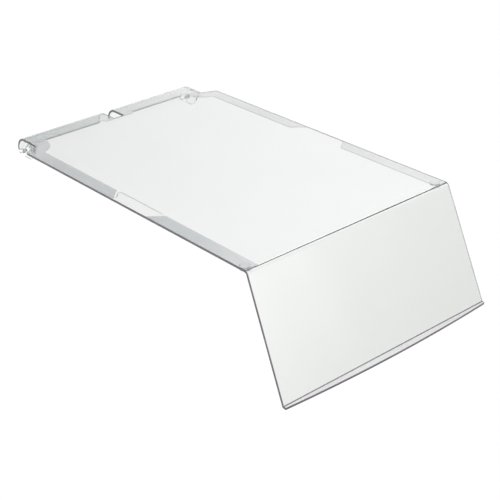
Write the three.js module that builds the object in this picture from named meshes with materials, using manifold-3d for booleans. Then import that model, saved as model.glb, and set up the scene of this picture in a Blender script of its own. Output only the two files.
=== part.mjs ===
// A hinged sneeze guard: one clear moulded sheet that hangs on two pivot pins at its rear.
//
// Units are millimetres. The origin is the middle of the hinge axis. +X is to the right for
// someone who faces the leaning front shield and looks towards the hinge, +Y is towards the
// rear and +Z is up. The guard is closed, with its top panel level.

import * as THREE from "three";
import { mergeVertices } from "three/addons/utils/BufferGeometryUtils.js";
import Module from "manifold-3d";

const wasm = await Module();
wasm.setup();

// Driving dimensions of the sheet.
const WALL = 3.2;
const PANEL_WIDTH = 325;
const PANEL_LENGTH = 448.5;
const SHIELD_LENGTH = 156;
const SHIELD_LEAN = 22.85;
const SHIELD_BOTTOM_WIDTH = 333.6;
const BEND_RADIUS = 7;
const HOOK_RADIUS = 17;
const HOOK_FLANK = 3.3;
const HINGE_TO_BEND = 490.5;
const TAB_WIDTH = 282.6;
const SHOULDER_DEPTH = 10;
const NOTCH_WIDTH = 16.4;
const NOTCH_DEPTH = 24;
const NOTCH_CORNER = 2;

// The lip turns forward from the shield's lower edge and is deeper in its middle.
const LIP_REACH_MIDDLE = 8.7;
const LIP_REACH_END = 3.4;
const LIP_DROP = 8;
const LIP_FILLET = 1.2;

// Hinge ears, pivot pins and rest pads.
const GAP = 0.3;
const EAR_THICKNESS = 4;
const EAR_FOOT = 8.9;
const PIN_RADIUS = 2.5;
const PIN_CLEARANCE = 0.15;
const PIN_PAST_EAR = 1;
const PIN_TO_HOST = 2.3;
const PIN_CHAMFER = 0.4;
const THROAT_LEAN = 36;
const THROAT_HALF_WIDTH = 2.1;
const MOUTH_FRONT = 2.5;
const PAD_RADIUS = 6.35;
const PAD_HEIGHT = 3.5;
const PAD_FLAT_RADIUS = 4.4;
const PAD_FROM_SIDE = 9.1;
const PAD_FROM_BEND = 14.2;
const PAD_FILM = 0.2;

// Faceting.
const COLUMNS = 24;
const HOOK_STEPS = 12;
const BEND_STEPS = 9;
const FILLET_STEPS = 4;
const CURVE_POINTS = 6;
const ROUND_SEGMENTS = 48;

const clearSheet = new THREE.MeshStandardMaterial({
  color: 0xdfe6e2, roughness: 0.08, metalness: 0, transparent: true, opacity: 0.35,
});
const clearFitting = new THREE.MeshStandardMaterial({
  color: 0xe6ebea, roughness: 0.12, metalness: 0, transparent: true, opacity: 0.5,
});
const clearPad = new THREE.MeshStandardMaterial({
  color: 0xd9dedb, roughness: 0.3, metalness: 0, transparent: true, opacity: 0.6,
});

const radians = THREE.MathUtils.degToRad;

// Turns a shape drawn in Y and Z, and extruded along its own z, to run along X.
const ALONG_X = new THREE.Matrix4().makeBasis(
  new THREE.Vector3(0, 1, 0),
  new THREE.Vector3(0, 0, 1),
  new THREE.Vector3(1, 0, 0),
);

function toManifold(geometry) {
  const bare = new THREE.BufferGeometry();
  bare.setAttribute("position", geometry.getAttribute("position"));
  bare.setIndex(geometry.getIndex());
  const merged = mergeVertices(bare);
  return new wasm.Manifold(new wasm.Mesh({
    numProp: 3,
    vertProperties: new Float32Array(merged.getAttribute("position").array),
    triVerts: new Uint32Array(merged.getIndex().array),
  }));
}

function fromManifold(solid) {
  const mesh = solid.getMesh();
  const geometry = new THREE.BufferGeometry();
  geometry.setAttribute("position", new THREE.BufferAttribute(mesh.vertProperties, 3));
  geometry.setIndex(new THREE.BufferAttribute(mesh.triVerts, 1));
  return geometry;
}

function named(name, geometry, material) {
  geometry.computeVertexNormals();
  const mesh = new THREE.Mesh(geometry, material);
  mesh.name = name;
  return mesh;
}

// Walks along the outer face of the sheet in the Y-Z plane. Each station has a point on the
// outer face, the outward normal there and the sheet's half width. The normal is to the right
// of the heading, and a positive turn bends the sheet away from it.
class SheetPath {
  constructor(y, z, heading, halfWidth) {
    this.y = y;
    this.z = z;
    this.heading = radians(heading);
    this.halfWidth = halfWidth;
    this.stations = [];
    this.mark();
  }

  mark(bow = 0) {
    this.stations.push({
      y: this.y,
      z: this.z,
      normalY: Math.sin(this.heading),
      normalZ: -Math.cos(this.heading),
      halfWidth: this.halfWidth,
      bow,
    });
  }

  straight(length, halfWidth = this.halfWidth) {
    this.y += length * Math.cos(this.heading);
    this.z += length * Math.sin(this.heading);
    this.halfWidth = halfWidth;
    this.mark();
  }

  turn(radius, angle, steps) {
    const side = Math.sign(angle);
    const centreY = this.y - side * radius * Math.sin(this.heading);
    const centreZ = this.z + side * radius * Math.cos(this.heading);
    for (let step = 0; step < steps; step += 1) {
      this.heading += radians(angle) / steps;
      this.y = centreY + side * radius * Math.sin(this.heading);
      this.z = centreZ - side * radius * Math.cos(this.heading);
      this.mark();
    }
  }
}

// The sheet's path, from the lower edge of the rear hook, over the top and down to the lip.
function guardPath() {
  const bendTurn = 90 - SHIELD_LEAN;
  const lipTurn = bendTurn - LIP_DROP;
  const bendTangent = BEND_RADIUS * Math.tan(radians(bendTurn / 2));
  const lipTangent = LIP_FILLET * Math.tan(radians(lipTurn / 2));
  const tabLength = HINGE_TO_BEND - PANEL_LENGTH - SHOULDER_DEPTH;
  const path = new SheetPath(HOOK_RADIUS, -HOOK_FLANK, 90, TAB_WIDTH / 2);
  path.straight(HOOK_FLANK);
  path.turn(HOOK_RADIUS, 90, HOOK_STEPS);
  path.straight(tabLength);
  path.straight(SHOULDER_DEPTH, PANEL_WIDTH / 2);
  path.straight(PANEL_LENGTH - bendTangent);
  path.turn(BEND_RADIUS, bendTurn, BEND_STEPS);
  path.straight(SHIELD_LENGTH - bendTangent - lipTangent, SHIELD_BOTTOM_WIDTH / 2);
  path.turn(LIP_FILLET, -lipTurn, FILLET_STEPS);
  path.straight(LIP_REACH_END - lipTangent);
  path.stations.at(-1).bow = LIP_REACH_MIDDLE - LIP_REACH_END;
  return path.stations;
}

// One closed mesh from the stations: an outer and an inner skin, joined round the rim.
function sheetGeometry(stations) {
  const positions = [];
  const indices = [];
  const rowLength = COLUMNS + 1;
  const skinSize = stations.length * rowLength;
  const skin = (depth) => {
    for (const station of stations) {
      for (let column = 0; column <= COLUMNS; column += 1) {
        const across = (2 * column) / COLUMNS - 1;
        const reach = station.bow * (1 - across * across);
        const forwardY = -station.normalZ * reach;
        const forwardZ = station.normalY * reach;
        positions.push(
          across * station.halfWidth,
          station.y + forwardY - depth * station.normalY,
          station.z + forwardZ - depth * station.normalZ,
        );
      }
    }
  };
  skin(0);
  skin(WALL);
  const quad = (a, b, c, d) => indices.push(a, b, c, a, c, d);
  for (let row = 0; row < stations.length - 1; row += 1) {
    const left = row * rowLength;
    const right = left + COLUMNS;
    for (let column = 0; column < COLUMNS; column += 1) {
      const here = left + column;
      const next = here + rowLength;
      quad(here, next, next + 1, here + 1);
      quad(here + skinSize, here + 1 + skinSize, next + 1 + skinSize, next + skinSize);
    }
    quad(left, left + skinSize, left + rowLength + skinSize, left + rowLength);
    quad(right, right + rowLength, right + rowLength + skinSize, right + skinSize);
  }
  const lastRow = skinSize - rowLength;
  for (let column = 0; column < COLUMNS; column += 1) {
    quad(column, column + 1, column + 1 + skinSize, column + skinSize);
    const here = lastRow + column;
    quad(here, here + skinSize, here + 1 + skinSize, here + 1);
  }
  const geometry = new THREE.BufferGeometry();
  geometry.setAttribute("position", new THREE.Float32BufferAttribute(positions, 3));
  geometry.setIndex(indices);
  return geometry;
}

// The gap in the middle of the rear hook, as a block that is cut away.
function notchGeometry() {
  const half = NOTCH_WIDTH / 2;
  const back = HOOK_RADIUS + WALL;
  const front = -NOTCH_DEPTH;
  const outline = new THREE.Shape();
  outline.moveTo(half, back);
  outline.lineTo(-half, back);
  outline.lineTo(-half, front + NOTCH_CORNER);
  outline.quadraticCurveTo(-half, front, -half + NOTCH_CORNER, front);
  outline.lineTo(half - NOTCH_CORNER, front);
  outline.quadraticCurveTo(half, front, half, front + NOTCH_CORNER);
  outline.closePath();
  const depth = 2 * back;
  const geometry = new THREE.ExtrudeGeometry(outline, {
    depth, bevelEnabled: false, curveSegments: CURVE_POINTS,
  });
  return geometry.translate(0, 0, -depth / 2);
}

function guardPanel() {
  const sheet = toManifold(sheetGeometry(guardPath()));
  const notch = toManifold(notchGeometry());
  return named("guard_panel", fromManifold(sheet.subtract(notch)), clearSheet);
}

// A plate under a rear corner of the sheet. Its snap slot has a wide mouth that opens down and
// to the rear, and narrows to a throat below the round seat of the pivot pin.
function earGeometry() {
  const seat = PIN_RADIUS + PIN_CLEARANCE;
  const roof = HOOK_RADIUS - WALL - GAP;
  const heel = -HOOK_FLANK - GAP;
  const throatAngle = radians(THROAT_LEAN - 90);
  const opening = Math.asin(THROAT_HALF_WIDTH / seat);
  const hornTipY = 11.6;
  const hornTipZ = -7.4;
  const shape = new THREE.Shape();
  shape.moveTo(-30.4, roof);
  shape.lineTo(-17.6, -5);
  shape.quadraticCurveTo(-14.9, -EAR_FOOT, -11.5, -EAR_FOOT);
  shape.lineTo(MOUTH_FRONT, -EAR_FOOT);
  shape.absarc(0, 0, seat, throatAngle - opening, throatAngle + opening, true);
  shape.lineTo(hornTipY, hornTipZ);
  shape.quadraticCurveTo(15.6, -7.2, HOOK_RADIUS - GAP, heel);
  shape.lineTo(roof, heel);
  shape.absarc(0, 0, roof, 0, Math.PI / 2, false);
  shape.closePath();
  const geometry = new THREE.ExtrudeGeometry(shape, {
    depth: EAR_THICKNESS, bevelEnabled: false, curveSegments: HOOK_STEPS,
  });
  return geometry.translate(0, 0, -TAB_WIDTH / 2).applyMatrix4(ALONG_X);
}

// A plain stub pin on the hinge axis, with chamfered ends. It goes through the ear and stands
// out to the host that carries the guard.
function pinGeometry() {
  const outside = -TAB_WIDTH / 2 - PIN_TO_HOST;
  const inside = -TAB_WIDTH / 2 + EAR_THICKNESS + PIN_PAST_EAR;
  const profile = [
    [0, outside],
    [PIN_RADIUS - PIN_CHAMFER, outside],
    [PIN_RADIUS, outside + PIN_CHAMFER],
    [PIN_RADIUS, inside - PIN_CHAMFER],
    [PIN_RADIUS - PIN_CHAMFER, inside],
    [0, inside],
  ];
  const points = profile.map(([radius, along]) => new THREE.Vector2(radius, along));
  const geometry = new THREE.LatheGeometry(points, ROUND_SEGMENTS);
  return geometry.rotateZ(-Math.PI / 2);
}

// A low round pad with a flat foot, stuck under a front corner of the top panel.
function padGeometry() {
  const shape = new THREE.Path();
  shape.moveTo(0, -PAD_HEIGHT);
  shape.lineTo(PAD_FLAT_RADIUS, -PAD_HEIGHT);
  shape.quadraticCurveTo(PAD_RADIUS, -PAD_HEIGHT, PAD_RADIUS, -PAD_HEIGHT / 3);
  shape.lineTo(PAD_RADIUS, 0);
  shape.lineTo(0, 0);
  const geometry = new THREE.LatheGeometry(shape.getPoints(CURVE_POINTS), ROUND_SEGMENTS);
  return geometry.rotateX(Math.PI / 2);
}

// Gives a piece on the other side of the guard, mirrored about the middle.
function mirrored(geometry) {
  const copy = geometry.clone().scale(-1, 1, 1);
  if (copy.getIndex() === null) {
    copy.setIndex([...Array(copy.getAttribute("position").count).keys()]);
  }
  copy.getIndex().array.reverse();
  return copy;
}

function hingeSide(side, place) {
  const group = new THREE.Group();
  group.add(named(`hinge_ear_${side}`, place(earGeometry()), clearFitting));
  group.add(named(`hinge_pin_${side}`, place(pinGeometry()), clearFitting));
  return group;
}

function restPad(side, sign) {
  const pad = named(`rest_pad_${side}`, padGeometry(), clearPad);
  pad.position.set(
    sign * (PANEL_WIDTH / 2 - PAD_FROM_SIDE),
    -HINGE_TO_BEND + PAD_FROM_BEND,
    HOOK_RADIUS - WALL - PAD_FILM,
  );
  return pad;
}

const sneezeGuard = new THREE.Group();
sneezeGuard.add(guardPanel());
sneezeGuard.add(hingeSide("left", (geometry) => geometry));
sneezeGuard.add(hingeSide("right", mirrored));
sneezeGuard.add(restPad("left", -1));
sneezeGuard.add(restPad("right", 1));

export default sneezeGuard;
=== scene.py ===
import math

import bmesh
import bpy
from mathutils import Matrix, Vector
from mathutils.geometry import delaunay_2d_cdt


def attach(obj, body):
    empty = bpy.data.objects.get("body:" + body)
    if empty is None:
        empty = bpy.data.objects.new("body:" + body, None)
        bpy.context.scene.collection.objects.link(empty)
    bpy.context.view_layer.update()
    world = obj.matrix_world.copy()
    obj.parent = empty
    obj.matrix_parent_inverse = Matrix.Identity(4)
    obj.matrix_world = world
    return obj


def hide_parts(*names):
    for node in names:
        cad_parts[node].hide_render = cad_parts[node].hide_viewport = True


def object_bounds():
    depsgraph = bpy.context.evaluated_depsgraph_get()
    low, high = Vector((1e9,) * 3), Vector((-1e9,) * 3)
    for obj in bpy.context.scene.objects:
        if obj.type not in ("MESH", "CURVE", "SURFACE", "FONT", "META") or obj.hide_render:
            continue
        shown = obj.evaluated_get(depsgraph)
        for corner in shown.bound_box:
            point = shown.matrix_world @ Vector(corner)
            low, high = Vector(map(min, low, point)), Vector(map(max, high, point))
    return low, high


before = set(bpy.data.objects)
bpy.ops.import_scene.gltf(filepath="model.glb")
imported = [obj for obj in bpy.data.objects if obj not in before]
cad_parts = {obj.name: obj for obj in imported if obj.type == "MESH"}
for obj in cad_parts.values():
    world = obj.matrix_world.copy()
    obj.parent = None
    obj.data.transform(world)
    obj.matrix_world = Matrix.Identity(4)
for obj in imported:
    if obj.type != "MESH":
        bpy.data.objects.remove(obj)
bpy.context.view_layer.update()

MM = 0.001
TINY = 1e-9

# The sheet, in millimetres. Its outer face is that of the CAD model. At the bend and at the
# lip's fold the under face is tighter, which makes the corner thicker there.
WALL = 3.2
PANEL_WIDTH = 325.0
PANEL_LENGTH = 448.5
SHIELD_LENGTH = 156.0
SHIELD_LEAN = 22.85
SHIELD_BOTTOM_WIDTH = 333.6
BEND_RADIUS = 7.0
INNER_BEND_RADIUS = 2.5
HOOK_RADIUS = 17.0
HOOK_FLANK = 3.3
HINGE_TO_BEND = 490.5
TAB_WIDTH = 282.6
SHOULDER_DEPTH = 10.0
NOTCH_HALF = 8.2
NOTCH_DEPTH = 24.0
LIP_REACH_MIDDLE = 8.7
LIP_REACH_END = 3.4
LIP_DROP = 8.0
LIP_FILLET = 1.2
LIP_UNDER_RADIUS = 1.6

# Roundings of the sheet's corners, seen from above, and how finely corners are drawn.
CORNER_STEP = math.radians(12)
MITRE_LIMIT = 0.3
TAB_CORNER = 1.2
SHOULDER_INNER_CORNER = 1.5
SHOULDER_OUTER_CORNER = 2.0
LIP_CORNER = 1.4
LIP_CORNER_REACH = 6.0
NOTCH_CORNER = 2.0

# Detail that only the visual model has: rounded edges and the clear window, which lies a
# little below the frosted border, with a blank label space at each long edge.
EDGE_ROUND = 0.45
EDGE_LINE = 1.35
STEP_DEPTH = 0.25
STEP_RUN = 0.3
REAR_STEP_SHARE = 0.5
REAR_STEP_START = 4.0
REAR_STEP_RUN = 20.0
RUN_OUT = 7.5
RUN_OUT_END = 0.5
WINDOW_PAST_BEND = 2.6
# The shield's painted shade starts this far past the bend.
SHIELD_SHADE_PAST_BEND = 5.4
BAND_INNER = 143.8
BAND_EDGE_GAP = 0.9
LABEL_FRONT_INNER = -321.5
LABEL_FRONT_EDGE = -306.7
LABEL_REAR_EDGE = -238.9
LABEL_REAR_INNER = -221.1
LABEL_CORNER = 0.6
LABEL_EDGE_STRIP = 2.0
BAND_REAR = -57.0
WINDOW_CORNER = 1.0
BULGE_X = 145.9
BULGE_REACH = 20.5
BULGE_SHOULDER = 4.5
BULGE_LENGTH = 31.0
BULGE_GAP = 3.5
BULGE_DEGREES = range(14, 85, 7)
STRIP_FRONT = -21.0
STRIP_MARGIN = 1.0
STRIP_END_X = 120.6
STRIP_MIDDLE_X = 25.0
STRIP_TONGUE_X = 23.5
STRIP_TONGUE = 6.2
STRIP_TONGUE_CORNER = 2.5

# The thin engraved line round the left label space.
LINE_X = -143.4
LINE_REAR = -230.2
LINE_FRONT = -311.6
LINE_FOOT = (-155.4, -238.0)
LINE_CORNER = 3.2
LINE_DEGREES = range(-40, 91, 13)
GROOVE_HALF = 0.35
GROOVE_FLOOR = 0.15
GROOVE_DEPTH = 0.2

# Rows of vertices across the sheet.
HOOK_STEPS = 32
TOP_STEPS = 10
BEND_STEPS = 22
SHIELD_STEPS = 4
FOLD_STEPS = 6
LIP_STEPS = 40
TOP_ROW_GAP = 8.0
SHIELD_ROW_GAP = 10.0
TAB_ROW_GAP = 4.0
ROW_BESIDE_BEND = 0.5
ROW_BEFORE_FOLD = 0.4
LIP_START = 0.3
NOTCH_ROW_GAP = 3.0
ROW_MATCH = 1e-4
FOLD_MATCH = 1e-6
MERGE_SHEET = 1e-5
MERGE_EAR = 1e-6

# Ears, in Y and Z round the hinge's axis.
GAP = 0.3
EAR_THICKNESS = 4.0
EAR_FOOT = 8.9
EAR_FRONT = -30.4
EAR_CHIN = (-17.6, -5.0)
EAR_CHIN_PULL = -14.9
EAR_FOOT_FRONT = -11.5
EAR_HEEL = (11.6, -7.4)
EAR_HEEL_PULL = (15.6, -7.2)
EAR_MARGIN = 2.0
EAR_ROUND = 0.35
EAR_ROUND_MIDDLE = 0.1
EAR_CURVE_STEPS = 8
SEAT_STEPS = 40
ROOF_STEPS = 20
THROAT_LEAN = 36.0
THROAT_HALF = 2.1
MOUTH_FRONT = 2.5

# Pins and pads.
PIN_RADIUS = 2.5
PIN_SEAT = 2.65
PIN_PAST_EAR = 1.0
PIN_TO_HOST = 2.3
PIN_CHAMFER = 0.4
PIN_CHAMFER_MIDDLE = 0.12
PIN_SEGMENTS = 48
PAD_RADIUS = 6.35
PAD_HEIGHT = 3.5
PAD_FLAT = 4.4
PAD_X = 153.4
PAD_Y = -476.3
PAD_FILM = 0.2
PAD_EDGE = 0.25
PAD_CURVE_STEPS = 10
PAD_SEGMENTS = 72

# Angles over which a mesh is shaded as a sharp edge, in degrees.
SHEET_SHARP = 20
PIECE_SHARP = 30

# Bare plastic: clear polycarbonate, and lower refractive indices for the small clear parts.
PLASTIC_IOR = 1.585
FITTING_IOR = 1.2
PAD_IOR = 1.15

# Looks, as the two linear colours that each material runs between.
CLEAR_COLOURS = ((0.955, 0.97, 0.96), (0.97, 0.98, 0.975))
# The shield's colours are painted shade: darker than the top, and darker towards the right.
SHIELD_COLOURS = ((0.855, 0.87, 0.855), (0.80, 0.815, 0.80))
# The frosted bands' grey is painted shade, darker at the left; the frost itself is real.
FROST_COLOURS = ((0.39, 0.42, 0.43), (0.77, 0.775, 0.79))
# The rear strip's colours hold painted shade, darker towards the left.
REAR_FROST_COLOURS = ((0.57, 0.62, 0.615), (0.985, 0.99, 0.995))
# The cut edge's dark colours are painted shade for the light it traps; from within it is a
# lighter grey.
EDGE_SHADE_COLOURS = ((0.13, 0.115, 0.14), (0.20, 0.18, 0.21))
EDGE_INSIDE_COLOUR = (0.60, 0.59, 0.63, 1)
# The engraved line's dark grey is painted shade in the groove.
ENGRAVED_SHADE_COLOURS = ((0.22, 0.235, 0.235), (0.30, 0.315, 0.315))
# The fold's near-black colours are painted shade.
FOLD_SHADE_COLOURS = ((0.06, 0.055, 0.065), (0.10, 0.09, 0.105))
# The lip's darker tint is painted shade.
LIP_SHADE_COLOURS = ((0.76, 0.745, 0.79), (0.87, 0.855, 0.895))
FITTING_COLOURS = ((0.93, 0.95, 0.94), (0.96, 0.97, 0.965))
# The clear pins' grey is painted shade.
PIN_SHADE_COLOURS = ((0.45, 0.49, 0.47), (0.54, 0.58, 0.56))
PAD_COLOURS = ((0.95, 0.96, 0.96), (0.98, 0.98, 0.98))

# Roughness, as the two values that each material runs between.
GLOSSY = (0.0, 0.03)
LIP_ROUGH = (0.0, 0.05)
PIN_ROUGH = (0.02, 0.06)
PAD_ROUGH = (0.05, 0.1)
FROST_ROUGH = (0.12, 0.18)
REAR_FROST_ROUGH = (0.10, 0.15)
EDGE_ROUGH = (0.12, 0.2)
EDGE_INSIDE_ROUGH = 0.02
EDGE_TRANSMISSION = 0.25
ENGRAVED_ROUGH = (0.2, 0.3)
FOLD_ROUGH = (0.1, 0.2)

# The noises' scales, and the middle of a noise's range, where most of its values lie.
COLOUR_SCALE = 9.0
FROST_COLOUR_SCALE = 6.0
LIP_COLOUR_SCALE = 14.0
EDGE_COLOUR_SCALE = 25.0
ROUGH_SCALE = 60.0
NOISE_MIDDLE = (0.3, 0.7)

# Bumps, as the noise's scale, the strength and the height in metres.
TOP_WAVE = (14.0, 0.15, 0.0006)
SHIELD_WAVE = (12.0, 0.15, 0.0006)
FITTING_WAVE = (60.0, 0.2, 0.0003)
FROST_GRAIN = (1400.0, 0.35, 0.0002)
REAR_GRAIN = (1400.0, 0.08, 0.0002)
PAD_GRAIN = (500.0, 0.2, 0.0002)

# The share of a colour run that follows the sheet's width, which paints shade that changes from
# left to right, and the rise at the bands' ends, which paints them lighter there.
SHADE_WIDTH_SHARE = 0.8
END_LIGHT_SHARE = 0.4
FRONT_END = (-380, -470)
REAR_END = (-95, -40)

# How much of the cut edge is clear from within, at the left and at the right: painted shade that
# makes the edge darker towards the left.
EDGE_CLEAR_LEFT = 0.12
EDGE_CLEAR_RIGHT = 0.8

# Floor and light.
FLOOR_REACH = 30.0
FLOOR_DROP = 0.001
FLOOR_LEVEL = 0.86
SUN_STRENGTH = 2.72
SUN_ANGLE = 100

# The studio's brightness: by azimuth in degrees from +X, low and high up, and by height.
LOW_BAND = [
    (-180, 0.5), (-75, 0.8), (-57, 1.7), (-55.3, 1.6), (-54.6, 1.25), (-54, 1.2),
    (-53.4, 1.4), (-52.5, 1.0), (-50.5, 1.0), (-50, 1.15), (-49.3, 0.9), (-46, 0.8),
    (-40, 0.5), (-20, 0.6), (10, 1.6), (120, 1.6), (150, 0.8), (180, 0.5),
]
HIGH_BAND = [
    (-180, 0.4), (-60, 0.3), (-20, 0.25), (30, 0.6), (40, 0.85), (50, 0.65), (61, 0.3),
    (90, 0.4), (180, 0.4),
]
LOW_HEIGHTS = [(0.0, 0.15), (0.044, 0.3), (0.14, 1.0)]
HIGH_HEIGHTS = [(0.35, 1.0), (0.6, 0.7), (1.0, 0.6)]
BAND_CHANGE = [(0.2, 0.0), (0.32, 1.0)]

# The camera: where it looks from, seen from the target, and its place beside that line.
AZIMUTH = math.radians(-39.711)
ELEVATION = math.radians(27.873)
ROLL = math.radians(-1.951)
DISTANCE = 1.44593
SHIFT_RIGHT = -0.11975
SHIFT_UP = -0.02989
TARGET = Vector((0, -0.4905, 0.017))
SENSOR_WIDTH = 36
LENS = 90.48


# ---------------------------------------------------------------- the sheet's path

class Path:
    """The outer face of the sheet in the Y-Z plane, as straights and arcs by length."""

    def __init__(self, y, z, heading):
        self.y = y
        self.z = z
        self.heading = math.radians(heading)
        self.length = 0.0
        self.parts = []

    def _add(self, run, curve):
        self.parts.append((self.length, run, curve, self.y, self.z, self.heading))
        self.y, self.z, self.heading = self._end(self.parts[-1], run)
        self.length += run
        return self.length

    @staticmethod
    def _end(part, t):
        """The place and the heading at the length t along one part."""
        _, _, curve, y, z, h = part
        if curve == 0:
            return y + t * math.cos(h), z + t * math.sin(h), h
        after = h + t * curve
        return (
            y + (math.sin(after) - math.sin(h)) / curve,
            z - (math.cos(after) - math.cos(h)) / curve,
            after,
        )

    def straight(self, run):
        return self._add(run, 0.0)

    def arc(self, radius, degrees):
        angle = math.radians(degrees)
        return self._add(abs(angle) * radius, math.copysign(1 / radius, angle))

    def at(self, s):
        """Y and Z at the length s, and the direction out of the sheet there."""
        part = self.parts[0]
        for candidate in self.parts:
            if s >= candidate[0] - TINY:
                part = candidate
        y, z, h = self._end(part, s - part[0])
        return y, z, math.sin(h), -math.cos(h)


bend_turn = 90 - SHIELD_LEAN
lip_turn = bend_turn - LIP_DROP
bend_tangent = BEND_RADIUS * math.tan(math.radians(bend_turn / 2))
lip_tangent = LIP_FILLET * math.tan(math.radians(lip_turn / 2))

path = Path(HOOK_RADIUS, -HOOK_FLANK, 90)
s_flank = path.straight(HOOK_FLANK)
s_top = path.arc(HOOK_RADIUS, 90)
s_tab = path.straight(HINGE_TO_BEND - PANEL_LENGTH - SHOULDER_DEPTH)
s_shoulder = path.straight(SHOULDER_DEPTH)
s_bend = path.straight(PANEL_LENGTH - bend_tangent)
s_shield = path.arc(BEND_RADIUS, bend_turn)
s_fillet = path.straight(SHIELD_LENGTH - bend_tangent - lip_tangent)
s_lip = path.arc(LIP_FILLET, -lip_turn)
path.straight(LIP_REACH_MIDDLE)


class UnderCurve:
    """The under face's own curve at a fold, tighter than one parallel to the outer face."""

    def __init__(self, start, end, turn, outer_radius, radius, side):
        self.start = start
        self.end = end
        self.reach = side * radius
        y, z, ny, nz = path.at((start + end) / 2)
        slack = outer_radius - side * WALL - radius
        shift = side * (slack / math.cos(math.radians(turn / 2)) - outer_radius)
        self.y = y + shift * ny
        self.z = z + shift * nz

    def at(self, ny, nz):
        return self.y + self.reach * ny, self.z + self.reach * nz


under_curves = [
    UnderCurve(s_bend, s_shield, bend_turn, BEND_RADIUS, INNER_BEND_RADIUS, 1),
    UnderCurve(s_fillet, s_lip, lip_turn, LIP_FILLET, LIP_UNDER_RADIUS, -1),
]


def on_sheet(x, s, depth):
    """A point of the sheet, at a depth below its outer face."""
    y, z, ny, nz = path.at(s)
    under_y = y - WALL * ny
    under_z = z - WALL * nz
    for curve in under_curves:
        if curve.start - FOLD_MATCH <= s <= curve.end + FOLD_MATCH:
            under_y, under_z = curve.at(ny, nz)
    t = depth / WALL
    return Vector((x, y + (under_y - y) * t, z + (under_z - z) * t)) * MM


def along(y):
    """The length along the path of a point of the level top."""
    return s_top - y


def half_width(s):
    if s <= s_tab:
        return TAB_WIDTH / 2
    if s <= s_shoulder:
        t = (s - s_tab) / SHOULDER_DEPTH
        return (TAB_WIDTH + (PANEL_WIDTH - TAB_WIDTH) * t) / 2
    if s <= s_shield:
        return PANEL_WIDTH / 2
    if s <= s_fillet:
        t = (s - s_shield) / (s_fillet - s_shield)
        return (PANEL_WIDTH + (SHIELD_BOTTOM_WIDTH - PANEL_WIDTH) * t) / 2
    return SHIELD_BOTTOM_WIDTH / 2


def lip_end(x):
    across = x / (SHIELD_BOTTOM_WIDTH / 2)
    reach = LIP_REACH_END + (LIP_REACH_MIDDLE - LIP_REACH_END) * (1 - across * across)
    return s_lip + reach - lip_tangent


# ---------------------------------------------------------------- flat outlines

def clamped(value):
    return max(0.0, min(1.0, value))


def rounded(points):
    """A closed outline from (x, y, radius) corners, with each corner rounded."""
    out = []
    count = len(points)
    for i, (x, y, radius) in enumerate(points):
        if radius == 0:
            out.append((x, y))
            continue
        here = Vector((x, y))
        before = Vector(points[i - 1][:2]) - here
        after = Vector(points[(i + 1) % count][:2]) - here
        before.normalize()
        after.normalize()
        half = math.acos(max(-1, min(1, before.dot(after)))) / 2
        reach = radius / math.tan(half)
        middle = here + (before + after).normalized() * (radius / math.sin(half))
        start = here + before * reach - middle
        end = here + after * reach - middle
        turn = start.angle_signed(end)
        steps = max(3, round(abs(turn) / CORNER_STEP))
        first = math.atan2(start.y, start.x)
        for k in range(steps + 1):
            angle = first - turn * k / steps
            out.append((middle.x + radius * math.cos(angle),
                        middle.y + radius * math.sin(angle)))
    return out


def inward(points):
    """The mitred direction to the inside at each corner of a closed outline."""
    count = len(points)
    area = sum(points[i - 1][0] * points[i][1] - points[i][0] * points[i - 1][1]
               for i in range(count))
    side = 1 if area > 0 else -1
    out = []
    for i in range(count):
        here = Vector(points[i])
        a = (here - Vector(points[i - 1])).normalized()
        b = (Vector(points[(i + 1) % count]) - here).normalized()
        na = Vector((-a.y, a.x)) * side
        nb = Vector((-b.y, b.x)) * side
        both = na + nb
        out.append(both / max(both.dot(na), MITRE_LIMIT))
    return out


def offset(points, distance):
    return [(p[0] + m.x * distance, p[1] + m.y * distance)
            for p, m in zip(points, inward(points))]


def segment_distance(x, y, a, b):
    dx = b[0] - a[0]
    dy = b[1] - a[1]
    t = clamped(((x - a[0]) * dx + (y - a[1]) * dy) / max(dx * dx + dy * dy, TINY))
    return math.hypot(x - a[0] - t * dx, y - a[1] - t * dy)


def is_inside(x, y, loop):
    inside = False
    for i in range(len(loop)):
        ax, ay = loop[i - 1]
        bx, by = loop[i]
        if (ay > y) != (by > y) and x < (bx - ax) * (y - ay) / (by - ay) + ax:
            inside = not inside
    return inside


def depth_inside(x, y, loop):
    """The signed distance to a closed loop, positive inside it."""
    away = min(segment_distance(x, y, loop[i - 1], loop[i]) for i in range(len(loop)))
    return away if is_inside(x, y, loop) else -away


def line_distance(x, y, line):
    return min(segment_distance(x, y, line[i], line[i + 1]) for i in range(len(line) - 1))


def ribbon(line, half):
    """A closed loop round an open line."""
    left = []
    right = []
    for i, p in enumerate(line):
        a = Vector(line[max(i - 1, 0)])
        b = Vector(line[min(i + 1, len(line) - 1)])
        d = (b - a).normalized()
        left.append((p[0] - d.y * half, p[1] + d.x * half))
        right.append((p[0] + d.y * half, p[1] - d.x * half))
    return left + right[::-1]


# ---------------------------------------------------------------- the sheet's outline and zones

def spread(start, end, count):
    return [start + (end - start) * k / count for k in range(count + 1)]


def row_lengths():
    """The lengths along the path that have a row of vertices, closest where it curves."""
    found = spread(s_flank, s_top, HOOK_STEPS)
    found += [s_top + ROW_BESIDE_BEND, s_tab - TAB_ROW_GAP]
    found += spread(s_shoulder + TOP_ROW_GAP, s_bend - TOP_ROW_GAP, TOP_STEPS)
    found += [s_bend - ROW_BESIDE_BEND]
    found += spread(s_bend, s_shield, BEND_STEPS)
    found += [s_shield + ROW_BESIDE_BEND]
    found += spread(s_shield + SHIELD_ROW_GAP, s_fillet - SHIELD_ROW_GAP, SHIELD_STEPS)
    found += [s_fillet - ROW_BEFORE_FOLD]
    found += spread(s_fillet, s_lip, FOLD_STEPS)
    found += [s_lip + LIP_START]
    return sorted({round(s, 5) for s in found})


rows = row_lengths()


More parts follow.
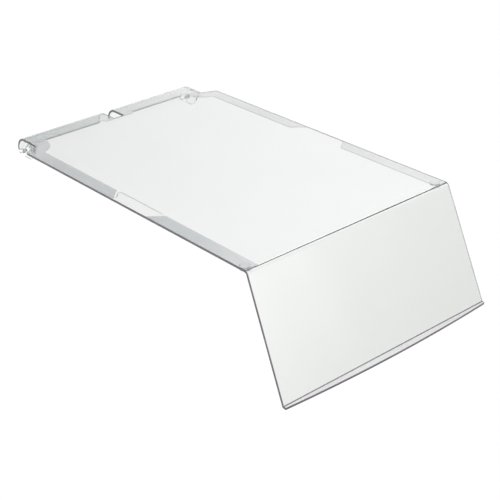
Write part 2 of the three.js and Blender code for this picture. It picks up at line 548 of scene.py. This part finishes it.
def sheet_outline():
    """The whole sheet laid flat, as X and the length along the path."""
    left = [(-TAB_WIDTH / 2, 0.0, TAB_CORNER)]
    left += [(-half_width(s), s, 0) for s in rows if s < s_tab]
    left += [(-TAB_WIDTH / 2, s_tab, SHOULDER_INNER_CORNER)]
    left += [(-PANEL_WIDTH / 2, s_shoulder, SHOULDER_OUTER_CORNER)]
    left += [(-half_width(s), s, 0) for s in rows if s > s_shoulder]
    corner_x = SHIELD_BOTTOM_WIDTH / 2
    left += [(-corner_x, lip_end(corner_x), LIP_CORNER)]
    front_x = corner_x - LIP_CORNER_REACH
    front = [(x, lip_end(x), 0) for x in spread(-front_x, front_x, LIP_STEPS)]
    right = [(-x, s, r) for x, s, r in reversed(left)]
    notch_end = along(-NOTCH_DEPTH)
    notch = [(NOTCH_HALF, 0.0, TAB_CORNER)]
    notch += [(NOTCH_HALF, s, 0) for s in rows if s < notch_end - NOTCH_ROW_GAP]
    notch += [(NOTCH_HALF, notch_end, NOTCH_CORNER)]
    notch += [(-x, s, r) for x, s, r in reversed(notch)]
    return rounded(left + front + right + notch)


def window_outline():
    """The clear window between the frosted borders, in X and Y."""
    edge = PANEL_WIDTH / 2 - BAND_EDGE_GAP
    half = [
        (-BAND_INNER, s_top - s_bend - WINDOW_PAST_BEND, 0),
        (-BAND_INNER, LABEL_FRONT_INNER, LABEL_CORNER),
        (-edge, LABEL_FRONT_EDGE, 0),
        (-edge, LABEL_REAR_EDGE, 0),
        (-BAND_INNER, LABEL_REAR_INNER, LABEL_CORNER),
        (-BAND_INNER, BAND_REAR, WINDOW_CORNER),
    ]
    for degrees in BULGE_DEGREES:
        a = math.radians(degrees)
        x = -BULGE_X + BULGE_REACH * math.sin(a) + BULGE_SHOULDER * math.sin(a) ** 2
        half.append((x, STRIP_FRONT - BULGE_GAP - BULGE_LENGTH * math.cos(a), 0))
    half += [
        (-STRIP_END_X, STRIP_FRONT, WINDOW_CORNER),
        (-STRIP_MIDDLE_X, STRIP_FRONT, WINDOW_CORNER),
        (-STRIP_TONGUE_X, STRIP_FRONT - STRIP_TONGUE, STRIP_TONGUE_CORNER),
    ]
    return rounded(half + [(-x, y, r) for x, y, r in reversed(half)])


def label_line():
    """The thin engraved line round the inner side of the left label space, in X and Y."""
    bow = [LINE_FOOT]
    for degrees in LINE_DEGREES:
        a = math.radians(degrees)
        bow.append((LINE_X - LINE_CORNER + LINE_CORNER * math.sin(a),
                    LINE_REAR - LINE_CORNER + LINE_CORNER * math.cos(a)))
    return bow + [(LINE_X, LINE_FRONT)]


def laid_flat(points):
    """Points of the level top, from X and Y to X and the length along the path."""
    return [(x, along(y)) for x, y in points]


outline = sheet_outline()
window = laid_flat(window_outline())
groove = laid_flat(label_line())
miter = inward(outline)


def skin_depth(x, s):
    """How far the outer face lies below the raised border.

    The window's step is lower at the rear strip, and runs out before the bend.
    """
    if s > s_bend or s < along(STRIP_FRONT) - STRIP_MARGIN:
        return 0.0
    run_out = clamped((s_bend - RUN_OUT_END - s) / RUN_OUT)
    from_rear = clamped((s - along(STRIP_FRONT) - REAR_STEP_START) / REAR_STEP_RUN)
    share = REAR_STEP_SHARE + (1 - REAR_STEP_SHARE) * from_rear
    depth = STEP_DEPTH * run_out * share * clamped(depth_inside(x, s, window) / STEP_RUN)
    cut = (GROOVE_HALF - line_distance(x, s, groove)) / (GROOVE_HALF - GROOVE_FLOOR)
    return depth + GROOVE_DEPTH * clamped(cut)


# The sheet's materials, in the order of its material slots.
CLEAR, FROST, RIM, LINE, SHIELD, FOLD, LIP, STRIP = range(8)


def zone(x, s):
    """The material of the outer face."""
    if s > s_lip + LIP_START:
        return LIP
    if s > s_fillet:
        return FOLD
    if s > s_bend + SHIELD_SHADE_PAST_BEND:
        return SHIELD
    if s > s_bend + WINDOW_PAST_BEND:
        return CLEAR
    if line_distance(x, s, groove) < GROOVE_HALF:
        return LINE
    if is_inside(x, s, window):
        return CLEAR
    if s < along(STRIP_FRONT):
        return STRIP
    beside_label = LABEL_FRONT_EDGE < path.at(s)[0] < LABEL_REAR_EDGE
    if beside_label and abs(x) > PANEL_WIDTH / 2 - LABEL_EDGE_STRIP:
        return CLEAR
    return FROST


def over_ear(a, b):
    """Whether a stretch of the outline is the tab's side, over an ear.

    On the real guard the sheet and the ear are one there, so it has less of the painted dark
    edge.
    """
    at_side = min(abs(a[0]), abs(b[0])) > TAB_WIDTH / 2 - EAR_MARGIN
    past_hook = min(a[1], b[1]) > s_top - EAR_MARGIN
    return at_side and past_hook and max(a[1], b[1]) < s_shoulder + EAR_MARGIN / 2


def triangulate(boundary, loops):
    """Triangles of one skin: its boundary, the rows across the bends and the zone loops."""
    points = [Vector(p) for p in boundary]
    edges = [(i, (i + 1) % len(boundary)) for i in range(len(boundary))]
    for s in rows:
        ends = sorted((p[0], i) for i, p in enumerate(outline) if abs(p[1] - s) < ROW_MATCH)
        for (_, a), (_, b) in zip(ends[::2], ends[1::2]):
            edges.append((a, b))
    for loop in loops:
        first = len(points)
        points += [Vector(p) for p in loop]
        edges += [(first + i, first + (i + 1) % len(loop)) for i in range(len(loop))]
    made = delaunay_2d_cdt(points, edges, [], 0, MERGE_SHEET)
    verts, faces, origins = made[0], made[2], made[3]
    place = {}
    for i, origin in enumerate(origins):
        for o in origin:
            place[o] = i
    kept = []
    for face in faces:
        x = sum(verts[i].x for i in face) / 3
        s = sum(verts[i].y for i in face) / 3
        if is_inside(x, s, boundary):
            kept.append(list(face))
    return verts, kept, [place[i] for i in range(len(boundary))]


def edge_profile():
    """The cut edge from the outer face to the under face, as insets and depths."""
    rounding = []
    for degrees in (30, 60, 90):
        angle = math.radians(degrees)
        rounding.append((EDGE_ROUND * (1 - math.sin(angle)), EDGE_ROUND * (1 - math.cos(angle))))
    lower = [(inset, WALL - depth) for inset, depth in reversed(rounding)]
    return rounding + [(0.0, EDGE_LINE)] + lower


def add_skin(mesh_data, depth, loops):
    """Adds the outer face (depth 0) or the under face, and returns its boundary ring."""
    vertices, faces, kinds = mesh_data
    skin_edge = [(p[0] + m.x * EDGE_ROUND, p[1] + m.y * EDGE_ROUND)
                 for p, m in zip(outline, miter)]
    flat, triangles, edge_at = triangulate(skin_edge, loops)
    base = len(vertices)
    for v in flat:
        down = skin_depth(v.x, v.y) if depth == 0 else depth
        vertices.append(on_sheet(v.x, v.y, down))
    for face in triangles:
        a, b, c = (flat[i] for i in face)
        turn = (b - a).x * (c - a).y - (b - a).y * (c - a).x
        ordered = face if (turn < 0) == (depth == 0) else face[::-1]
        x = (a.x + b.x + c.x) / 3
        s = (a.y + b.y + c.y) / 3
        faces.append([base + i for i in ordered])
        if depth == 0:
            kinds.append(zone(x, s))
        else:
            kinds.append(SHIELD if s > s_shield else CLEAR)
    return [base + i for i in edge_at]


def add_edge(mesh_data, top_ring, under_ring):
    """Adds the cut edge between the two faces, with painted dark shade but for its part over the
    ears.
    """
    vertices, faces, kinds = mesh_data
    count = len(outline)
    profile = edge_profile()
    stack = [top_ring]
    for inset, depth in profile:
        stack.append(list(range(len(vertices), len(vertices) + count)))
        for p, m in zip(outline, miter):
            vertices.append(on_sheet(p[0] + m.x * inset, p[1] + m.y * inset, depth))
    stack.append(under_ring)
    below_line = profile.index((0.0, EDGE_LINE)) + 1
    for level, (upper, lower) in enumerate(zip(stack, stack[1:])):
        for i in range(count):
            j = (i + 1) % count
            faces.append([upper[i], upper[j], lower[j], lower[i]])
            clear_part = level >= below_line and over_ear(outline[i], outline[j])
            kinds.append(CLEAR if clear_part else RIM)


def sharpen(mesh, rings):
    """Marks the borders between the faces and the cut edge as sharp."""
    marked = set()
    for ring in rings:
        for i in range(len(ring)):
            marked.add(frozenset((ring[i], ring[(i + 1) % len(ring)])))
    sharp = mesh.attributes.get("sharp_edge")
    if sharp is None:
        sharp = mesh.attributes.new("sharp_edge", "BOOLEAN", "EDGE")
    for edge in mesh.edges:
        if frozenset(edge.vertices) in marked:
            sharp.data[edge.index].value = True
    mesh.update()


def build_sheet():
    loops = [window, offset(window, STEP_RUN)]
    loops += [ribbon(groove, GROOVE_HALF), ribbon(groove, GROOVE_FLOOR)]
    mesh_data = ([], [], [])
    top_ring = add_skin(mesh_data, 0.0, loops)
    under_ring = add_skin(mesh_data, WALL, [])
    add_edge(mesh_data, top_ring, under_ring)
    vertices, faces, kinds = mesh_data
    mesh = closed_mesh("guard_sheet", vertices, faces, SHEET_SHARP, kinds)
    sharpen(mesh, (top_ring, under_ring))
    return link("guard_sheet", mesh)


def closed_mesh(name, vertices, faces, sharp_angle=PIECE_SHARP, kinds=None):
    """A smooth-shaded mesh with its faces turned outward; kinds are material indices."""
    mesh = bpy.data.meshes.new(name)
    mesh.from_pydata([tuple(v) for v in vertices], [], faces)
    if kinds:
        mesh.polygons.foreach_set("material_index", kinds)
    mesh.validate()
    work = bmesh.new()
    work.from_mesh(mesh)
    bmesh.ops.recalc_face_normals(work, faces=work.faces)
    work.to_mesh(mesh)
    work.free()
    mesh.polygons.foreach_set("use_smooth", [True] * len(mesh.polygons))
    mesh.set_sharp_from_angle(angle=math.radians(sharp_angle))
    return mesh


def link(name, data):
    obj = bpy.data.objects.new(name, data)
    bpy.context.scene.collection.objects.link(obj)
    return obj


# ---------------------------------------------------------------- ears, pins and pads

def curve(a, b, c, steps):
    """The points after a of a quadratic curve from a to c that is pulled towards b."""
    points = []
    for k in range(1, steps + 1):
        t = k / steps
        points.append(((1 - t) ** 2 * a[0] + 2 * t * (1 - t) * b[0] + t * t * c[0],
                       (1 - t) ** 2 * a[1] + 2 * t * (1 - t) * b[1] + t * t * c[1]))
    return points


def ear_outline():
    """The ear's side view in Y and Z, as in the CAD model, with finer curves."""
    roof = HOOK_RADIUS - WALL - GAP
    heel_top = -HOOK_FLANK - GAP
    middle = math.radians(THROAT_LEAN - 90)
    opening = math.asin(THROAT_HALF / PIN_SEAT)
    points = [(EAR_FRONT, roof), EAR_CHIN]
    points += curve(EAR_CHIN, (EAR_CHIN_PULL, -EAR_FOOT), (EAR_FOOT_FRONT, -EAR_FOOT),
                    EAR_CURVE_STEPS)
    points += [(MOUTH_FRONT, -EAR_FOOT)]
    for a in spread(middle - opening, middle + opening - 2 * math.pi, SEAT_STEPS):
        points.append((PIN_SEAT * math.cos(a), PIN_SEAT * math.sin(a)))
    points += [EAR_HEEL]
    points += curve(EAR_HEEL, EAR_HEEL_PULL, (HOOK_RADIUS - GAP, heel_top), EAR_CURVE_STEPS)
    points += [(roof, heel_top)]
    for a in spread(0, math.pi / 2, ROOF_STEPS):
        points.append((roof * math.cos(a), roof * math.sin(a)))
    return points


def flat_faces(points):
    """Triangles that fill a closed outline, as indices of its points."""
    edges = [(i, (i + 1) % len(points)) for i in range(len(points))]
    made = delaunay_2d_cdt([Vector(p) for p in points], edges, [], 0, MERGE_EAR)
    verts, faces, origins = made[0], made[2], made[3]
    place = {}
    for i, origin in enumerate(origins):
        for o in origin:
            place[i] = o
    kept = []
    for face in faces:
        y = sum(verts[i].x for i in face) / 3
        z = sum(verts[i].y for i in face) / 3
        if is_inside(y, z, points):
            kept.append([place[i] for i in face])
    return kept


def build_ear(side, sign):
    """A plate under the tab's corner, with a snap slot for the pin and rounded edges."""
    inner = TAB_WIDTH / 2 - EAR_THICKNESS
    points = ear_outline()
    miters = inward(points)
    profile = [(EAR_ROUND, 0.0), (EAR_ROUND_MIDDLE, EAR_ROUND_MIDDLE), (0.0, EAR_ROUND)]
    profile += [(inset, EAR_THICKNESS - x) for inset, x in reversed(profile)]
    vertices = []
    faces = []
    count = len(points)
    for inset, x in profile:
        for p, m in zip(points, miters):
            vertices.append((sign * (inner + x) * MM,
                             (p[0] + m.x * inset) * MM,
                             (p[1] + m.y * inset) * MM))
    last = (len(profile) - 1) * count
    for face in flat_faces(points):
        faces.append(list(face))
        faces.append([last + i for i in reversed(face)])
    for k in range(len(profile) - 1):
        near = k * count
        far = near + count
        for i in range(count):
            j = (i + 1) % count
            faces.append([near + i, near + j, far + j, far + i])
    name = f"hinge_ear_{side}_shell"
    return link(name, closed_mesh(name, vertices, faces))


def lathe(name, profile, place, segments):
    """A body of revolution from (radius, along) points; place maps (along, c, s) to space."""
    vertices = []
    faces = []
    rings = []
    for radius, t in profile:
        if radius < TINY:
            rings.append([len(vertices)])
            vertices.append(place(t, 0.0, 0.0))
            continue
        rings.append(list(range(len(vertices), len(vertices) + segments)))
        for k in range(segments):
            a = 2 * math.pi * k / segments
            vertices.append(place(t, radius * math.cos(a), radius * math.sin(a)))
    for a, b in zip(rings, rings[1:]):
        for k in range(segments):
            n = (k + 1) % segments
            if len(a) == 1:
                faces.append([a[0], b[k], b[n]])
            elif len(b) == 1:
                faces.append([a[k], b[0], a[n]])
            else:
                faces.append([a[k], b[k], b[n], a[n]])
    return link(name, closed_mesh(name, vertices, faces))


def build_pin(side, sign):
    """A plain stub pin with a small chamfer at each end."""
    outside = TAB_WIDTH / 2 + PIN_TO_HOST
    inside = TAB_WIDTH / 2 - EAR_THICKNESS - PIN_PAST_EAR
    profile = [
        (0.0, outside),
        (PIN_RADIUS - PIN_CHAMFER, outside),
        (PIN_RADIUS - PIN_CHAMFER_MIDDLE, outside - PIN_CHAMFER_MIDDLE),
        (PIN_RADIUS, outside - PIN_CHAMFER),
        (PIN_RADIUS, inside + PIN_CHAMFER),
        (PIN_RADIUS - PIN_CHAMFER_MIDDLE, inside + PIN_CHAMFER_MIDDLE),
        (PIN_RADIUS - PIN_CHAMFER, inside),
        (0.0, inside),
    ]

    def place(t, c, s):
        return sign * t * MM, c * MM, s * MM

    return lathe(f"hinge_pin_{side}_turned", profile, place, PIN_SEGMENTS)


def build_pad(side, sign):
    """A round pad under the top, with a rounded foot."""
    top = HOOK_RADIUS - WALL - PAD_FILM
    start = (PAD_RADIUS, -PAD_HEIGHT / 3)
    profile = [(0.0, 0.0), (PAD_RADIUS - PAD_EDGE, 0.0), (PAD_RADIUS, -PAD_EDGE), start]
    profile += curve(start, (PAD_RADIUS, -PAD_HEIGHT), (PAD_FLAT, -PAD_HEIGHT),
                     PAD_CURVE_STEPS)
    profile += [(0.0, -PAD_HEIGHT)]

    def place(t, c, s):
        return (sign * PAD_X + c) * MM, (PAD_Y + s) * MM, (top + t) * MM

    return lathe(f"rest_pad_{side}_moulded", profile, place, PAD_SEGMENTS)


# ---------------------------------------------------------------- material helpers

def nodes_of(name):
    material = bpy.data.materials.new(name)
    material.use_nodes = True
    tree = material.node_tree
    return material, tree, tree.nodes["Principled BSDF"]


def noise(tree, scale, detail, rough=0.5):
    where = tree.nodes.new("ShaderNodeTexCoord")
    node = tree.nodes.new("ShaderNodeTexNoise")
    node.inputs["Scale"].default_value = scale
    node.inputs["Detail"].default_value = detail
    node.inputs["Roughness"].default_value = rough
    tree.links.new(where.outputs["Object"], node.inputs["Vector"])
    return node.outputs["Fac"]


def place_along(tree, axis):
    """The place on the object along one axis, in metres."""
    where = tree.nodes.new("ShaderNodeTexCoord")
    split = tree.nodes.new("ShaderNodeSeparateXYZ")
    tree.links.new(where.outputs["Object"], split.inputs[0])
    return split.outputs[axis]


def map_range(tree, value, span, result):
    node = tree.nodes.new("ShaderNodeMapRange")
    node.inputs["From Min"].default_value = span[0]
    node.inputs["From Max"].default_value = span[1]
    node.inputs["To Min"].default_value = result[0]
    node.inputs["To Max"].default_value = result[1]
    tree.links.new(value, node.inputs["Value"])
    return node.outputs["Result"]


def noise_range(tree, value, low, high):
    """The middle of a noise's range, spread from low to high."""
    return map_range(tree, value, NOISE_MIDDLE, (low, high))


def shade_across_width(tree, left, right):
    """A value that runs from the sheet's left edge to its right, used to paint shade that
    changes across the width.
    """
    half = PANEL_WIDTH / 2 * MM
    return map_range(tree, place_along(tree, "X"), (-half, half), (left, right))


def math_node(tree, operation, *values):
    node = tree.nodes.new("ShaderNodeMath")
    node.operation = operation
    for i, value in enumerate(values):
        if isinstance(value, (int, float)):
            node.inputs[i].default_value = value
        else:
            tree.links.new(value, node.inputs[i])
    return node.outputs[0]


def painted_light_toward_ends(tree, share, amount):
    """A share raised towards the front and the rear end of the top: painted light, which makes
    the bands lighter at their ends.
    """
    for start, end in (FRONT_END, REAR_END):
        place = place_along(tree, "Y")
        rise = map_range(tree, place, (start * MM, end * MM), (0.0, amount))
        share = math_node(tree, "ADD", share, rise)
    return share


def mixed(tree, value, first, second):
    node = tree.nodes.new("ShaderNodeMix")
    node.data_type = "RGBA"
    tree.links.new(value, node.inputs["Factor"])
    node.inputs[6].default_value = (*first, 1)
    node.inputs[7].default_value = (*second, 1)
    return node.outputs[2]


def blended(tree, factor, first, second):
    node = tree.nodes.new("ShaderNodeMix")
    node.inputs["Factor"].default_value = factor
    tree.links.new(first, node.inputs[2])
    tree.links.new(second, node.inputs[3])
    return node.outputs[0]


def bumped(tree, shader, height, strength, distance):
    node = tree.nodes.new("ShaderNodeBump")
    node.inputs["Strength"].default_value = strength
    node.inputs["Distance"].default_value = distance
    tree.links.new(height, node.inputs["Height"])
    tree.links.new(node.outputs["Normal"], shader.inputs["Normal"])


def plastic(name, colours, rough, ior=PLASTIC_IOR, transmission=1.0, wave=None, grain=None,
            colour_scale=COLOUR_SCALE, across=0.0, ends=0.0):
    """Clear plastic with a colour and a roughness that drift between two values. The colour can
    also follow the width or rise at the ends, as painted shade and painted light.
    """
    material, tree, shader = nodes_of(name)
    shader.inputs["Transmission Weight"].default_value = transmission
    shader.inputs["IOR"].default_value = ior
    share = noise_range(tree, noise(tree, colour_scale, 3.0), 0, 1)
    # Painted shade that changes from the left edge to the right.
    if across:
        share = blended(tree, across, share, shade_across_width(tree, 0.0, 1.0))
    # Painted light towards the front and the rear ends.
    if ends:
        share = painted_light_toward_ends(tree, share, ends)
    tree.links.new(mixed(tree, share, *colours), shader.inputs["Base Color"])
    roughness = noise_range(tree, noise(tree, ROUGH_SCALE, 4.0), *rough)
    tree.links.new(roughness, shader.inputs["Roughness"])
    if wave:
        scale, strength, height = wave
        bumped(tree, shader, noise(tree, scale, 1.0), strength, height)
    if grain:
        scale, strength, height = grain
        bumped(tree, shader, noise(tree, scale, 3.0, 0.6), strength, height)
    return material


def lighten_from_inside(material):
    """A cut edge traps the light that enters it, and is less dark from within the sheet. Its
    dark colour is painted shade for that trapped light, and the clear share from within is
    painted shade too, smaller towards the left.
    """
    tree = material.node_tree
    output = tree.nodes["Material Output"]
    dark = tree.nodes["Principled BSDF"]
    glass = tree.nodes.new("ShaderNodeBsdfPrincipled")
    glass.inputs["Base Color"].default_value = EDGE_INSIDE_COLOUR
    glass.inputs["Roughness"].default_value = EDGE_INSIDE_ROUGH
    glass.inputs["IOR"].default_value = PLASTIC_IOR
    glass.inputs["Transmission Weight"].default_value = 1.0
    face = tree.nodes.new("ShaderNodeNewGeometry")
    part = shade_across_width(tree, EDGE_CLEAR_LEFT, EDGE_CLEAR_RIGHT)
    share = math_node(tree, "MULTIPLY", face.outputs["Backfacing"], part)
    mix = tree.nodes.new("ShaderNodeMixShader")
    tree.links.new(share, mix.inputs["Fac"])
    tree.links.new(dark.outputs["BSDF"], mix.inputs[1])
    tree.links.new(glass.outputs["BSDF"], mix.inputs[2])
    tree.links.new(mix.outputs["Shader"], output.inputs["Surface"])


# ---------------------------------------------------------------- materials

def clear_material():
    """The sheet's clear window and its under face."""
    return plastic("clear_polycarbonate", CLEAR_COLOURS, GLOSSY, wave=TOP_WAVE)


def shield_material():
    """The leaning shield, with painted shade: a little darker than the top, and darker towards
    its right end.
    """
    return plastic("clear_polycarbonate_shield", SHIELD_COLOURS, GLOSSY, wave=SHIELD_WAVE,
                   across=SHADE_WIDTH_SHARE)


def frost_material():
    """The frosted bands along the long edges: real frost, with painted shade in their grey
    colour, darker at the left and lighter towards the ends.
    """
    return plastic("frosted_polycarbonate", FROST_COLOURS, FROST_ROUGH, grain=FROST_GRAIN,
                   colour_scale=FROST_COLOUR_SCALE, across=SHADE_WIDTH_SHARE, ends=END_LIGHT_SHARE)


def rear_frost_material():
    """The paler frosted strip along the rear, with painted shade that darkens it towards the
    left.
    """
    return plastic("frosted_polycarbonate_rear", REAR_FROST_COLOURS, REAR_FROST_ROUGH,
                   grain=REAR_GRAIN, colour_scale=FROST_COLOUR_SCALE, across=SHADE_WIDTH_SHARE)


def edge_material():
    """The sheet's cut edge, coloured dark grey as painted shade for the light it traps."""
    material = plastic("sheet_edge_shade", EDGE_SHADE_COLOURS, EDGE_ROUGH,
                       transmission=EDGE_TRANSMISSION, colour_scale=EDGE_COLOUR_SCALE)
    lighten_from_inside(material)
    return material


def engraved_material():
    # Dark grey as painted shade in the groove.
    return plastic("engraved_line", ENGRAVED_SHADE_COLOURS, ENGRAVED_ROUGH)


def fold_material():
    """The tight fold between the shield and the lip, painted as a dark line: painted shade for
    the light lost in the fold.
    """
    return plastic("lip_fold_shade", FOLD_SHADE_COLOURS, FOLD_ROUGH)


def lip_material():
    # The lip is tinted darker than the top as painted shade.
    return plastic("lip", LIP_SHADE_COLOURS, LIP_ROUGH, colour_scale=LIP_COLOUR_SCALE)


def fitting_material():
    """The clear ears."""
    return plastic("clear_fitting", FITTING_COLOURS, GLOSSY, ior=FITTING_IOR,
                   wave=FITTING_WAVE)


def pin_material():
    # Grey as painted shade on the clear pin.
    return plastic("clear_pin", PIN_SHADE_COLOURS, PIN_ROUGH, wave=FITTING_WAVE)


def pad_material():
    return plastic("clear_pad", PAD_COLOURS, PAD_ROUGH, ior=PAD_IOR, grain=PAD_GRAIN)


# ---------------------------------------------------------------- pieces

def let_light_through(obj):
    """Clear pieces let the light through to what is under them."""
    obj.visible_shadow = False
    obj.visible_diffuse = False


def add_sheet():
    sheet = build_sheet()
    zone_materials = {
        CLEAR: clear_material(),
        FROST: frost_material(),
        RIM: edge_material(),
        LINE: engraved_material(),
        SHIELD: shield_material(),
        FOLD: fold_material(),
        LIP: lip_material(),
        STRIP: rear_frost_material(),
    }
    for index in sorted(zone_materials):
        sheet.data.materials.append(zone_materials[index])
    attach(sheet, "guard")
    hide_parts("guard_panel")
    let_light_through(sheet)


def add_ear(side, sign, material):
    ear = build_ear(side, sign)
    ear.data.materials.append(material)
    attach(ear, "guard")
    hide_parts(f"hinge_ear_{side}")
    let_light_through(ear)


def add_pin(side, sign, material):
    pin = build_pin(side, sign)
    pin.data.materials.append(material)
    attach(pin, "pivots")
    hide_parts(f"hinge_pin_{side}")
    let_light_through(pin)


def add_pad(side, sign, material):
    pad = build_pad(side, sign)
    pad.data.materials.append(material)
    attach(pad, "guard")
    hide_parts(f"rest_pad_{side}")
    let_light_through(pad)


add_sheet()
fitting = fitting_material()
pin_clear = pin_material()
pad_clear = pad_material()
for side, sign in (("left", -1), ("right", 1)):
    add_ear(side, sign, fitting)
    add_pin(side, sign, pin_clear)
    add_pad(side, sign, pad_clear)


# ---------------------------------------------------------------- floor, light and camera

def add_floor():
    """A pale matt floor just under the guard."""
    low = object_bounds()[0]
    z = low[2] - FLOOR_DROP
    reach = FLOOR_REACH
    corners = [(-reach, -reach, z), (reach, -reach, z), (reach, reach, z), (-reach, reach, z)]
    mesh = bpy.data.meshes.new("floor")
    mesh.from_pydata(corners, [], [(0, 1, 2, 3)])
    floor = link("floor", mesh)
    material, _, shader = nodes_of("floor")
    shader.inputs["Base Color"].default_value = (FLOOR_LEVEL, FLOOR_LEVEL, FLOOR_LEVEL, 1)
    shader.inputs["Roughness"].default_value = 1.0
    shader.inputs["Specular IOR Level"].default_value = 0.0
    mesh.materials.append(material)


def add_lamp():
    """A wide soft light from above, which lights the floor and isn't seen itself."""
    data = bpy.data.lights.new("soft_top", "SUN")
    data.energy = SUN_STRENGTH
    data.angle = math.radians(SUN_ANGLE)
    lamp = link("soft_top", data)
    lamp.visible_glossy = False
    lamp.visible_transmission = False


def ramp(tree, value, stops):
    """A grey level looked up from (place, level) stops."""
    node = tree.nodes.new("ShaderNodeValToRGB")
    tree.links.new(value, node.inputs["Fac"])
    elements = node.color_ramp.elements
    while len(elements) < len(stops):
        elements.new(0.5)
    for element, (at, level) in zip(elements, stops):
        element.position = at
        element.color = (level, level, level, 1)
    return node.outputs["Color"]


def by_azimuth(pairs):
    """Stops given by azimuth, as places from 0 to 1."""
    return [((degrees + 180) / 360, level) for degrees, level in pairs]


def mix_colours(tree, blend, factor, first, second):
    node = tree.nodes.new("ShaderNodeMix")
    node.data_type = "RGBA"
    node.blend_type = blend
    for socket, value in (("Factor", factor), (6, first), (7, second)):
        if isinstance(value, (int, float)):
            node.inputs[socket].default_value = value
        else:
            tree.links.new(value, node.inputs[socket])
    return node.outputs[2]


def add_studio():
    """The studio's walls, brighter in some directions, low down and higher up."""
    world = bpy.data.worlds.new("studio")
    bpy.context.scene.world = world
    world.use_nodes = True
    tree = world.node_tree
    background = tree.nodes["Background"]
    where = tree.nodes.new("ShaderNodeTexCoord")
    split = tree.nodes.new("ShaderNodeSeparateXYZ")
    tree.links.new(where.outputs["Generated"], split.inputs[0])
    height = split.outputs["Z"]
    azimuth = math_node(tree, "ARCTAN2", split.outputs["Y"], split.outputs["X"])
    place = math_node(tree, "MULTIPLY_ADD", azimuth, 1 / (2 * math.pi), 0.5)
    low_band = ramp(tree, place, by_azimuth(LOW_BAND))
    high_band = ramp(tree, place, by_azimuth(HIGH_BAND))
    low_light = mix_colours(tree, "MULTIPLY", 1.0, low_band, ramp(tree, height, LOW_HEIGHTS))
    high_light = mix_colours(tree, "MULTIPLY", 1.0, high_band, ramp(tree, height, HIGH_HEIGHTS))
    change = ramp(tree, height, BAND_CHANGE)
    light = mix_colours(tree, "MIX", change, low_light, high_light)
    tree.links.new(light, background.inputs["Color"])
    background.inputs["Strength"].default_value = 1.0


def add_camera():
    """The camera, turned a little about its own axis."""
    back = Vector((math.sin(AZIMUTH) * math.cos(ELEVATION),
                   -math.cos(AZIMUTH) * math.cos(ELEVATION),
                   math.sin(ELEVATION)))
    level_right = (-back).cross(Vector((0, 0, 1))).normalized()
    level_up = level_right.cross(-back)
    right = math.cos(ROLL) * level_right + math.sin(ROLL) * level_up
    up = -math.sin(ROLL) * level_right + math.cos(ROLL) * level_up
    data = bpy.data.cameras.new("camera")
    data.sensor_width = SENSOR_WIDTH
    data.lens = LENS
    place = TARGET + back * DISTANCE + right * SHIFT_RIGHT + up * SHIFT_UP
    turn = Matrix((right, up, back)).transposed().to_4x4()
    camera = link("camera", data)
    camera.matrix_world = Matrix.Translation(place) @ turn
    bpy.context.scene.camera = camera


add_floor()
add_lamp()
add_studio()
add_camera()
bpy.context.scene.view_settings.view_transform = "Standard"
